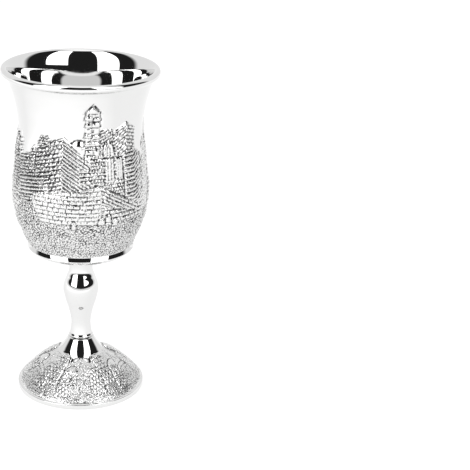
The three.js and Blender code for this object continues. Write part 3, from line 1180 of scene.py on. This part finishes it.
    def _upper_right(self) -> None:
        """Raise the block right of the tall tower, with its arch, tall windows and upper tower."""
        relief = self.relief
        left = Masonry(course=1.45, length=2.6, depth=0.5, slope=0.55, uneven=0.12, bevel=0.5, seed=12)
        right = Masonry(course=1.45, length=2.4, depth=0.5, slope=-0.3, uneven=0.12, seed=13)
        relief.stand([(30, 105), (56, 105), (56, 119.4), (43, 122.7), (30, 119.6)], self.house,
                     Corner(left, right, crest=0.45, spread=6), 43)
        rough = Masonry(course=1.35, length=1.3, depth=0.34, uneven=0.35, tilt=1.1, seed=21)
        relief.stand([(8, 96), (39, 92), (39, 109.5), (30, 111.5), (8, 110)], self.house, rough)
        relief.raise_dome(25, 4.4, 111, 115.6, self.tower)
        relief.sink([(22.6, 109.8), (27.4, 109.8), (27.0, 113.2), (25, 114.5), (23.0, 113.2)], 0.1)
        for first, last, sill in ((21, 28.6, 99.5), (31, 37.4, 101)):
            self._tall_window(first, last, sill)

    def _tall_window(self, first: float, last: float, sill: float) -> None:
        """Frame a tall window in the upper right block and divide it by a bar.

        Args:
            first: angle of its frame's left edge.
            last: angle of its frame's right edge.
            sill: distance up to the bottom of its frame.
        """
        relief = self.relief
        frame_side, frame_foot, bar_half = 1.6, 0.8, 0.7
        frame_top, glass_top = 108.6, 107.8
        glass_low = sill + frame_foot
        middle = (first + last) / 2
        relief.stand(rectangle(first, last, sill, frame_top), self.house + 0.14, working=Working(tooth=0.3))
        relief.sink(rectangle(first + frame_side, last - frame_side, glass_low, glass_top),
                    self.house + 0.02)
        relief.stand(rectangle(middle - bar_half, middle + bar_half, glass_low, glass_top),
                     self.house + 0.1, working=Working(cut=0.06, tooth=0.3))

    def _right_tower(self) -> None:
        """Raise the near tower on the right, seen at its corner."""
        left = Masonry(course=1.62, length=3.2, upright=0.6, depth=0.36, bevel=0.45, tilt=0.3, seed=14)
        right = Masonry(course=1.62, length=3.0, upright=0.5, depth=0.35, slope=0.55, bevel=0.45, seed=15)
        self.relief.stand([(39.5, 85.5), (60, 85.5), (60, 109.5), (50, 111), (39.5, 110)], self.tower,
                          Corner(left, right, crest=0.3, spread=5), 50, Working(cut=0.08))

    def _right_houses(self) -> None:
        """Raise the smoother houses past the right tower."""
        relief = self.relief
        slanted = Masonry(course=2.1, length=6.0, upright=0.3, depth=0.3, slope=0.8, seed=16)
        relief.stand([(60, 84), (69, 84), (69, 105), (64.5, 108.5), (60, 107)], self.far, slanted)
        relief.stand([(68, 84), (80, 84), (80, 110), (74, 113.5), (68, 110)], self.far,
                     Pilasters(pitch=1.6, depth=0.16))
        relief.raise_tree(84, 2.8, 100, 120, self.house)
        relief.sink(rectangle(62, 65, 104.6, 106.8), 0.05)

    def _front_walls(self) -> None:
        """Raise the thin wall on the left, the low wall on the right, and the big wall and its wing."""
        relief = self.relief
        thin = Masonry(course=1.45, length=4.0, upright=0.4, depth=0.5, slope=0.18, bevel=0.6, seed=9)
        relief.stand([(-62, 91.5), (-28, 94), (-28, 101.2), (-62, 98.2)], self.wall - 0.1, thin, -48)
        low_course = Masonry(course=1.8, length=2.6, depth=0.45, bevel=0.5, seed=17)
        relief.stand([(18, 82.4), (62, 82.4), (62, 86.6), (49, 89.6), (18, 89.6)], self.house + 0.2,
                     low_course)
        wing = Masonry(course=1.5, length=2.5, depth=0.42, slope=-0.58, uneven=0.12, bevel=0.5, seed=18)
        relief.stand([(14, 91), (54, 85.6), (54, 88), (19, 97.4), (13, 98.2)], self.tower + 0.1, wing, 14,
                     Working(cut=0.35))
        ashlar = Masonry(course=1.72, length=2.5, joint=0.34, depth=0.22, tilt=0.15, bevel=0.32, seed=19)
        outline = [
            (-40, 86), (-36, 82.6), (16, 82.6), (17, 84), (16.5, 97), (12, 97.8), (-43, 93.4), (-44, 90),
        ]
        relief.stand(outline, self.wall, ashlar, -10, Working(cut=0.08))

    def _bushes(self) -> None:
        """Dot low bushes along the foot of the front walls."""
        for at, base, width in ((17.5, 83.2, 2.6), (23.5, 84.2, 1.8), (30, 82.2, 2.2), (-6, 81.5, 1.6)):
            self.relief.raise_dome(at, width, base, base + 1.6, self.wall, replace(DOMED, tooth=1.0))

    def _soften(self) -> None:
        """Add the casting's uneven skin to all the worked metal, roughest and with most painted shade on
        the left.
        """
        relief = self.relief
        fine = Cobbles(210, 0.85, 33)(relief.angle, relief.up)
        finer = Cobbles(290, 0.6, 34)(relief.angle, relief.up)
        aside = turned(relief.angle, 0)
        broken = smooth((-14 - aside) / 16)[None, :] * smooth((relief.up - 93) / 5)[:, None]
        # Painted shade in recesses is strongest on the left.
        relief.painted_shade_gain = 1 + 0.9 * broken
        skin = (0.14 + 0.24 * broken) * (fine - 0.5) + 0.2 * broken * (finer - 0.5)
        relief.height += skin * np.minimum(1, 2 * relief.worked)


@dataclass
class Stem:
    """The turned baluster between foot and bowl, standing on a small ring."""

    low_z: float
    high_z: float
    foot_radius: float = 5.0
    ring_height: float = 1.3
    waist: Point = (4.15, 28.8)
    rise: Point = (5.05, 34.4)
    swell: Point = (6.6, 39.6)
    bulge: Point = (7.45, 43.9)
    crown: Point = (7.15, 46.6)
    fall: Point = (5.95, 50.0)
    neck: Point = (5.05, 52.9)
    collar: Point = (5.2, 55.5)
    top_radius: float = 6.3
    columns: int = 96

    def dress(self, finish: bpy.types.Material) -> None:
        """Build the stem and put it, in its finish, in the place of its solid."""
        place_piece(self.build(), "stem", finish)

    def build(self) -> bpy.types.Object:
        """Make the stem's mesh.

        Returns:
            The stem.
        """
        body = TurnedBody()
        body.add_ring(np.array([0.0, self.low_z]), 1)
        body.add_ring(np.array([self.foot_radius - 0.3, self.low_z]), self.columns)
        body.add_line(self._ring(), self.columns)
        body.add_line(self._side(), self.columns)
        body.add_ring(np.array([self.top_radius - 0.1, self.high_z]), self.columns)
        body.add_ring(np.array([0.0, self.high_z]), 1)
        return body.build("Stem_polished")

    def _ring(self) -> Array:
        """Draw the round outer line of the ring.

        Returns:
            Array of (radius, z) points.
        """
        join = self.foot_radius - 0.2
        return bezier((join, self.low_z + 0.1),
                      (self.foot_radius + 0.5, self.low_z + self.ring_height / 2),
                      (join, self.low_z + self.ring_height), 8)

    def _side(self) -> Array:
        """Draw the baluster's outer line.

        Returns:
            Array of (radius, z) points.
        """
        low = (self.foot_radius - 0.35, self.low_z + self.ring_height + 0.2)
        high = (self.top_radius, self.high_z - 0.15)
        return spline([low, self.waist, self.rise, self.swell, self.bulge, self.crown, self.fall,
                       self.neck, self.collar, high], 108)


@dataclass
class Foot:
    """The hollow foot: plain rim and neck, and five groups of buildings between them."""

    rim_radius: float
    neck_z: float
    rim_height: float = 2.0
    bevel: float = 0.8
    middle: Point = (17.0, 10.9)
    shelf: Point = (11.6, 14.5)
    cove: Point = (8.6, 17.2)
    neck_radius: float = 5.3
    wall: float = 1.3
    stand_ring: float = 2.4
    relief_rows: int = 92
    columns: int = 512

    def dress(self, finish: bpy.types.Material) -> None:
        """Build the foot and put it, in its finish, in the place of its solid."""
        place_piece(self.build(), "foot", finish)

    def build(self) -> bpy.types.Object:
        """Make the foot's mesh, from the top of its hollow round to the middle of its neck.

        Returns:
            The foot.
        """
        side = self._side()
        line = respaced(side, self.relief_rows)
        # The foot's recesses get slightly weaker painted shade.
        relief = Relief(self.columns, path_length(line), line[:, 0], painted_shade_gain=0.9)
        FootCity(relief, line[:, 0]).draw()
        few = self.columns // 2
        fewer = self.columns // 4
        body = TurnedBody()
        body.add_ring(np.array([0.0, self.neck_z - 2 * self.wall]), 1)
        body.add_line(self._hollow(side), fewer)
        body.add_ring(np.array([self.rim_radius - self.stand_ring, 0.0]), fewer)
        body.add_line(self._rim(side[0]), few)
        body.add_relief(line, relief)
        body.add_ring(np.array([self.neck_radius - 0.3, self.neck_z]), few)
        body.add_ring(np.array([0.0, self.neck_z]), 1)
        return body.build("Foot_relief")

    def _side(self) -> Array:
        """Return the outer line from the bevelled rim up to the neck."""
        edge = (self.rim_radius - self.bevel, self.rim_height + 0.55 * self.bevel)
        return spline([edge, self.middle, self.shelf, self.cove, (self.neck_radius, self.neck_z)], 240)

    def _hollow(self, side: Array) -> Array:
        """Draw the line of the hollow, a wall's thickness inside the outer line.

        Args:
            side: the outer line.

        Returns:
            Array of (radius, z) points, from the top down.
        """
        above_rim, below_neck = 20, 30
        inner = (side - self.wall * outward(side))[above_rim:-below_neck]
        return respaced(inner, 20)[::-1]

    def _rim(self, edge: Array) -> Array:
        """Draw the plain rim from the table up, with the bevel that leads to the relief.

        Args:
            edge: the relief's lowest point.

        Returns:
            Array of (radius, z) points.
        """
        corner = np.array([self.rim_radius - 0.05, self.rim_height + 0.03])
        bevel = [corner + share * (edge - corner) for share in (0.1, 0.85)]
        return np.array([
            (self.rim_radius - 0.25, 0.0), (self.rim_radius - 0.05, 0.1), (self.rim_radius, 0.3),
            (self.rim_radius, self.rim_height - 0.05), corner, *bevel,
        ])


@dataclass
class FootCity:
    """Five groups of buildings round the foot, leaning in towards the neck.

    Distances across are millimetres from a group's middle line, and distances up run from the rim.
    """

    relief: Relief
    radius: Array
    groups: int = 5
    first: float = 36.0
    house: float = 0.6
    tower: float = 0.8
    opening_half_width: float = 32.0
    paths: tuple[float, ...] = (18.2, 19.6)
    dome_middle: float = 5.6
    dome_half_width: float = 2.2
    windows: tuple[float, ...] = (4.6, 6.8)
    window_width: float = 1.2
    working: Working = Working(soft=0.5, cut=0.04, tooth=0.5)

    def draw(self) -> None:
        """Lay the ground, the line along the rim and the seams, and then each group."""
        self._ground()
        self._rim_line()
        for i in range(self.groups):
            self._seams(self.first + (i + 0.5) * 360 / self.groups)
        for i in range(self.groups):
            self._group(self.first + i * 360 / self.groups, i)

    def _up(self, radius: float) -> float:
        """Return the distance up from the rim where the foot has that radius."""
        return float(np.interp(-radius, -self.radius, self.relief.up))

    def _shape(self, at: float, corners: Sequence[Point], rise: float, face: Texture) -> None:
        """Raise a shape.

        Args:
            at: angle of its group's middle line.
            corners: its corners as (across, radius), anticlockwise with the neck at the top.
            rise: height of its face above the foot.
            face: texture of its face.
        """
        u, v = self.relief.local(at)
        outline = [(across, self._up(radius)) for across, radius in corners]
        self.relief.lay(polygon(u, v, outline), rise + face(u, v), self.working)

    def _ground(self) -> None:
        """Lay the stippled ground with its paths, ending in a scallop between each two groups."""
        relief = self.relief
        angle, up = relief.angle, relief.up
        phase = np.radians((angle - self.first) * self.groups)
        opening = np.exp(-((turned(angle, 0) / self.opening_half_width) ** 4))
        edge_radius = 9.2 + 1.2 * opening + (0.6 + 2.0 * opening) * np.abs(np.sin(phase))
        edge = np.interp(-edge_radius, -self.radius, up)
        coarse = Cobbles(190, 0.8, 41)(angle, up)
        fine = Cobbles(300, 0.55, 42)(angle, up)
        rough = 0.15 + 0.75 * smooth((self.radius - 15.5) / 5)[:, None]
        surface = 0.2 + rough * (0.2 * coarse + 0.18 * fine)
        for path in self.paths:
            middle = path + 1.3 * np.cos(phase)
            surface = surface - 0.16 * ridge(self.radius[:, None] - middle[None, :], 0.28)
        relief.lay(up[:, None] - edge[None, :], surface, Working(soft=1.2, tooth=0.9))

    def _rim_line(self) -> None:
        """Let the ground run out at the rim, behind a chased line."""
        relief = self.relief
        run_out = smooth(relief.up / 0.4)[:, None]
        relief.height = relief.height * run_out - 0.16 * ridge(relief.up - 0.35, 0.22)[:, None]
        relief.worked *= run_out

    def _seams(self, at: float) -> None:
        """Chase the two seams that part downwards from the neck between two groups.

        Args:
            at: angle half-way between the groups.
        """
        u, v = self.relief.local(at)
        low, high = self._up(16.0), self._up(10.8)
        share = np.clip((high - v) / (high - low), 0, 1)
        inside = smooth((v - low) / 0.8) * smooth((high - v) / 0.8)
        for side in (-1, 1):
            seam = u - side * (0.25 + 1.3 * share**2)
            self.relief.height -= 0.14 * ridge(seam, 0.22) * inside

    def _group(self, at: float, index: int) -> None:
        """Raise one group of buildings.

        Args:
            at: angle of its middle line.
            index: its number, which varies its stones.
        """
        squared = Masonry(course=1.75, length=1.6, joint=0.28, upright=1.0, under=0.14, bevel=0.16,
                          depth=0.27, uneven=0.1, tilt=0.12, seed=60 + index)
        rising = replace(squared, course=1.5, slope=0.35)
        falling = replace(squared, course=1.5, slope=-0.4)
        self._shape(at, [(-9.6, 23), (-3.2, 23), (-2.2, 14.8), (-6.2, 14.8)], self.house, rising)
        self._shape(at, [(3.6, 24), (10.2, 24), (8.6, 20.4), (3.2, 20.4)], self.house, falling)
        self._shape(at, [(3.6, 20.2), (10.4, 20.2), (8.4, 15.8), (3.1, 15.8)], self.house + 0.1, squared)
        self._dome(at)
        tower = [(-2.4, 21), (2.4, 21), (2.4, 10.8), (1.6, 9.8), (-1.8, 9.6), (-2.4, 10.8)]
        self._shape(at, tower, self.tower, squared)
        u, v = self.relief.local(at)
        low, high = self._up(19.4), self._up(17.4)
        for across in self.windows:
            window = polygon(u, v, rectangle(across, across + self.window_width, low, high))
            self.relief.height -= 0.35 * smooth(0.5 - window / 0.4)

    def _dome(self, at: float) -> None:
        """Raise the dome over a group's house.

        Args:
            at: angle of the group's middle line.
        """
        u, v = self.relief.local(at)
        base, crown = self._up(15.9), self._up(13.7)
        half = self.dome_half_width
        dome = np.hypot((u - self.dome_middle) / half, np.maximum((v - base) / (crown - base), 0))
        distance = np.maximum((dome - 1) * half, base - 0.6 - v)
        self.relief.lay(distance, self.tower - 0.25 * dome, Working(soft=0.6))


# ---- Studio --------------------------------------------------------------------------------------

@dataclass(frozen=True)
class Panel:
    """A bright panel in front of the cup.

    Attributes:
        middle: azimuth of its middle in degrees, growing towards +X.
        half_width: half its width in degrees.
        bottom: elevation of its lower edge.
        top: elevation of its upper edge.
        side_edge: softness of its sides and top in degrees.
        low_edge: softness of its lower edge.
    """

    middle: float
    half_width: float
    bottom: float
    top: float
    side_edge: float = 2.0
    low_edge: float = 1.5


@dataclass(frozen=True)
class Studio:
    """A light room whose front is dark but for two bright panels.

    Attributes:
        room: brightness of the room.
        shade: brightness of its dark front.
        panel: brightness of the panels.
        overhead: brightness of the ceiling.
        shade_from: elevation in degrees at which the dark front begins.
        shade_to: elevation at which the ceiling begins.
        shade_half_width: half the dark front's width in degrees.
        low_edge: softness of the dark front's lower edge in degrees.
        side_edge: softness of its sides.
        ceiling_edge: softness of the ceiling's edge.
        panels: the bright panels.
    """

    room: float = 0.9
    shade: float = 0.016
    panel: float = 3.0
    overhead: float = 1.25
    shade_from: float = 4.0
    shade_to: float = 72.0
    shade_half_width: float = 108.0
    low_edge: float = 3.0
    side_edge: float = 14.0
    ceiling_edge: float = 6.0
    panels: tuple[Panel, ...] = (Panel(-50.0, 20.0, 8.0, 68.0), Panel(43.0, 20.0, 14.0, 68.0))

    def build(self) -> None:
        """Make the room the scene's world."""
        scene = bpy.context.scene
        scene.view_settings.view_transform = "Standard"
        scene.view_settings.look = "None"
        world = bpy.data.worlds.new("Light room")
        scene.world = world
        world.use_nodes = True
        background = world.node_tree.nodes["Background"]
        background.inputs["Color"].default_value = (1, 1, 1, 1)
        world.node_tree.links.new(self._light(world.node_tree), background.inputs["Strength"])

    def _light(self, tree: Tree) -> Socket:
        """Work out how bright the room is in every direction.

        Args:
            tree: the world's node tree.

        Returns:
            The strength of the light.
        """
        direction = add_node(tree, "ShaderNodeTexCoord").outputs["Generated"]
        parts = add_node(tree, "ShaderNodeSeparateXYZ", {0: direction}).outputs
        backward = calculate(tree, "MULTIPLY", parts["Y"], -1.0)
        azimuth = calculate(tree, "DEGREES", calculate(tree, "ARCTAN2", parts["X"], backward))
        elevation = calculate(tree, "DEGREES", calculate(tree, "ARCSINE", parts["Z"]))
        above = self._rise(tree, elevation, self.shade_from, self.low_edge)
        aside = calculate(tree, "ABSOLUTE", azimuth)
        behind = self._rise(tree, aside, self.shade_half_width, self.side_edge)
        dark = calculate(tree, "MULTIPLY", above, calculate(tree, "SUBTRACT", 1.0, behind))
        light = calculate(tree, "MULTIPLY_ADD", dark, self.shade - self.room, self.room)
        ceiling = self._rise(tree, elevation, self.shade_to, self.ceiling_edge)
        light = self._towards(tree, light, self.overhead, ceiling)
        for panel in self.panels:
            light = self._towards(tree, light, self.panel, self._inside(tree, panel, azimuth, elevation))
        return light

    def _inside(self, tree: Tree, panel: Panel, azimuth: Socket, elevation: Socket) -> Socket:
        """Mark the directions that a panel fills.

        Args:
            tree: the world's node tree.
            panel: the panel.
            azimuth: azimuth of each direction in degrees.
            elevation: elevation of each direction in degrees.

        Returns:
            Value from 0 outside the panel to 1 inside, with a soft edge.
        """
        offset = calculate(tree, "SUBTRACT", azimuth, panel.middle)
        away = calculate(tree, "ABSOLUTE", calculate(tree, "WRAP", offset, 180.0, -180.0))
        outside = self._rise(tree, away, panel.half_width, panel.side_edge)
        high_enough = self._rise(tree, elevation, panel.bottom, panel.low_edge)
        too_high = self._rise(tree, elevation, panel.top, panel.side_edge)
        band = calculate(tree, "MULTIPLY", high_enough, calculate(tree, "SUBTRACT", 1.0, too_high))
        return calculate(tree, "MULTIPLY", calculate(tree, "SUBTRACT", 1.0, outside), band)

    @staticmethod
    def _rise(tree: Tree, value: Socket, at: float, width: float) -> Socket:
        """Make a value that goes from 0 to 1 as another passes a place.

        Args:
            tree: the world's node tree.
            value: the other value.
            at: the place.
            width: how far the other value goes meanwhile.

        Returns:
            The new value.
        """
        return add_node(tree, "ShaderNodeMapRange", {
            "Value": value, "From Min": at - width / 2, "From Max": at + width / 2,
        }, interpolation_type="SMOOTHSTEP").outputs["Result"]

    @staticmethod
    def _towards(tree: Tree, light: Socket, strength: float, share: Socket) -> Socket:
        """Return a light that moves towards another strength by a share."""
        gap = calculate(tree, "SUBTRACT", strength, light)
        return calculate(tree, "MULTIPLY_ADD", share, gap, light)


@dataclass(frozen=True)
class Table:
    """A round pale table under the cup, which glows most in front.

    Attributes:
        radius: its radius in metres.
        sides: number of its sides.
        paleness: its colour.
        roughness: its roughness.
        far_glow: how brightly it glows at the cup and behind.
        front_glow: how brightly it glows in front.
        front_from: distance ahead of the cup, in metres, from which it glows most.
        front: direction that counts as ahead.
    """

    radius: float = 6.0
    sides: int = 64
    paleness: float = 0.25
    roughness: float = 0.9
    far_glow: float = 0.80
    front_glow: float = 1.02
    front_from: float = 0.16
    front: tuple[float, float, float] = (-0.45, -0.89, 0.0)

    def build(self) -> None:
        """Lay the table."""
        mesh = bpy.data.meshes.new("Table")
        turn = np.linspace(0, 2 * np.pi, self.sides, endpoint=False)
        rim = [(self.radius * math.cos(t), self.radius * math.sin(t), 0.0) for t in turn]
        mesh.from_pydata(rim, [], [tuple(range(self.sides))])
        table = bpy.data.objects.new("Table", mesh)
        bpy.context.scene.collection.objects.link(table)
        mesh.materials.append(self._finish())

    def _finish(self) -> bpy.types.Material:
        """Make the table's finish, which glows more towards the front.

        Returns:
            The material.
        """
        material = bpy.data.materials.new("Pale table")
        material.use_nodes = True
        tree = material.node_tree
        shader = tree.nodes["Principled BSDF"]
        shader.inputs["Base Color"].default_value = (self.paleness, self.paleness, self.paleness, 1)
        shader.inputs["Roughness"].default_value = self.roughness
        shader.inputs["Emission Color"].default_value = (1, 1, 1, 1)
        place = add_node(tree, "ShaderNodeTexCoord").outputs["Object"]
        ahead = add_node(tree, "ShaderNodeVectorMath", {0: place, 1: self.front},
                         operation="DOT_PRODUCT").outputs["Value"]
        glow = add_node(tree, "ShaderNodeMapRange", {
            "Value": ahead, "From Min": 0.0, "From Max": self.front_from,
            "To Min": self.far_glow, "To Max": self.front_glow,
        }).outputs["Result"]
        tree.links.new(glow, shader.inputs["Emission Strength"])
        return material


@dataclass(frozen=True)
class Viewpoint:
    """The camera: where it stands and how it is turned, in metres and degrees."""

    place: tuple[float, float, float] = (0.0, -0.530, 0.272)
    pan: float = 6.965
    pitch: float = 20.918
    roll: float = 2.5
    lens: float = 103.5

    def build(self) -> None:
        """Make the camera and use it for the scene."""
        pan, pitch, roll = (math.radians(angle) for angle in (self.pan, self.pitch, self.roll))
        ahead = Vector((math.sin(pan) * math.cos(pitch), math.cos(pan) * math.cos(pitch), -math.sin(pitch)))
        right = ahead.cross(Vector((0, 0, 1))).normalized()
        up = right.cross(ahead)
        turned_right = right * math.cos(roll) + up * math.sin(roll)
        turned_up = up * math.cos(roll) - right * math.sin(roll)
        data = bpy.data.cameras.new("Camera")
        data.lens = self.lens
        data.sensor_width = 36.0
        data.clip_end = 100.0
        camera = bpy.data.objects.new("Camera", data)
        axes = Matrix((turned_right, turned_up, -ahead)).transposed().to_4x4()
        camera.matrix_world = Matrix.Translation(self.place) @ axes
        bpy.context.scene.collection.objects.link(camera)
        bpy.context.scene.camera = camera


# ---- Assembly ------------------------------------------------------------------------------------


def main() -> None:
    """Build the cup, its finishes and the studio."""
    logging.basicConfig(level=logging.INFO, format="%(name)s: %(message)s")
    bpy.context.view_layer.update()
    bowl_low, bowl_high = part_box("bowl")
    stem_low, stem_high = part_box("stem")
    _, foot_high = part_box("foot")
    groups = EffectGroups()
    relief_silver = SilverPlate("Relief silver plate").build(groups)
    polished_silver = SilverPlate("Polished silver plate", polish=0.03).build(groups)
    bowl = Bowl(seat_z=bowl_low.z / MM, rim_radius=bowl_high.x / MM, rim_z=bowl_high.z / MM)
    bowl.dress(relief_silver)
    Stem(low_z=stem_low.z / MM, high_z=stem_high.z / MM).dress(polished_silver)
    Foot(rim_radius=foot_high.x / MM, neck_z=foot_high.z / MM).dress(relief_silver)
    Studio().build()
    Table().build()
    Viewpoint().build()


if __name__ == "__main__":
    main()
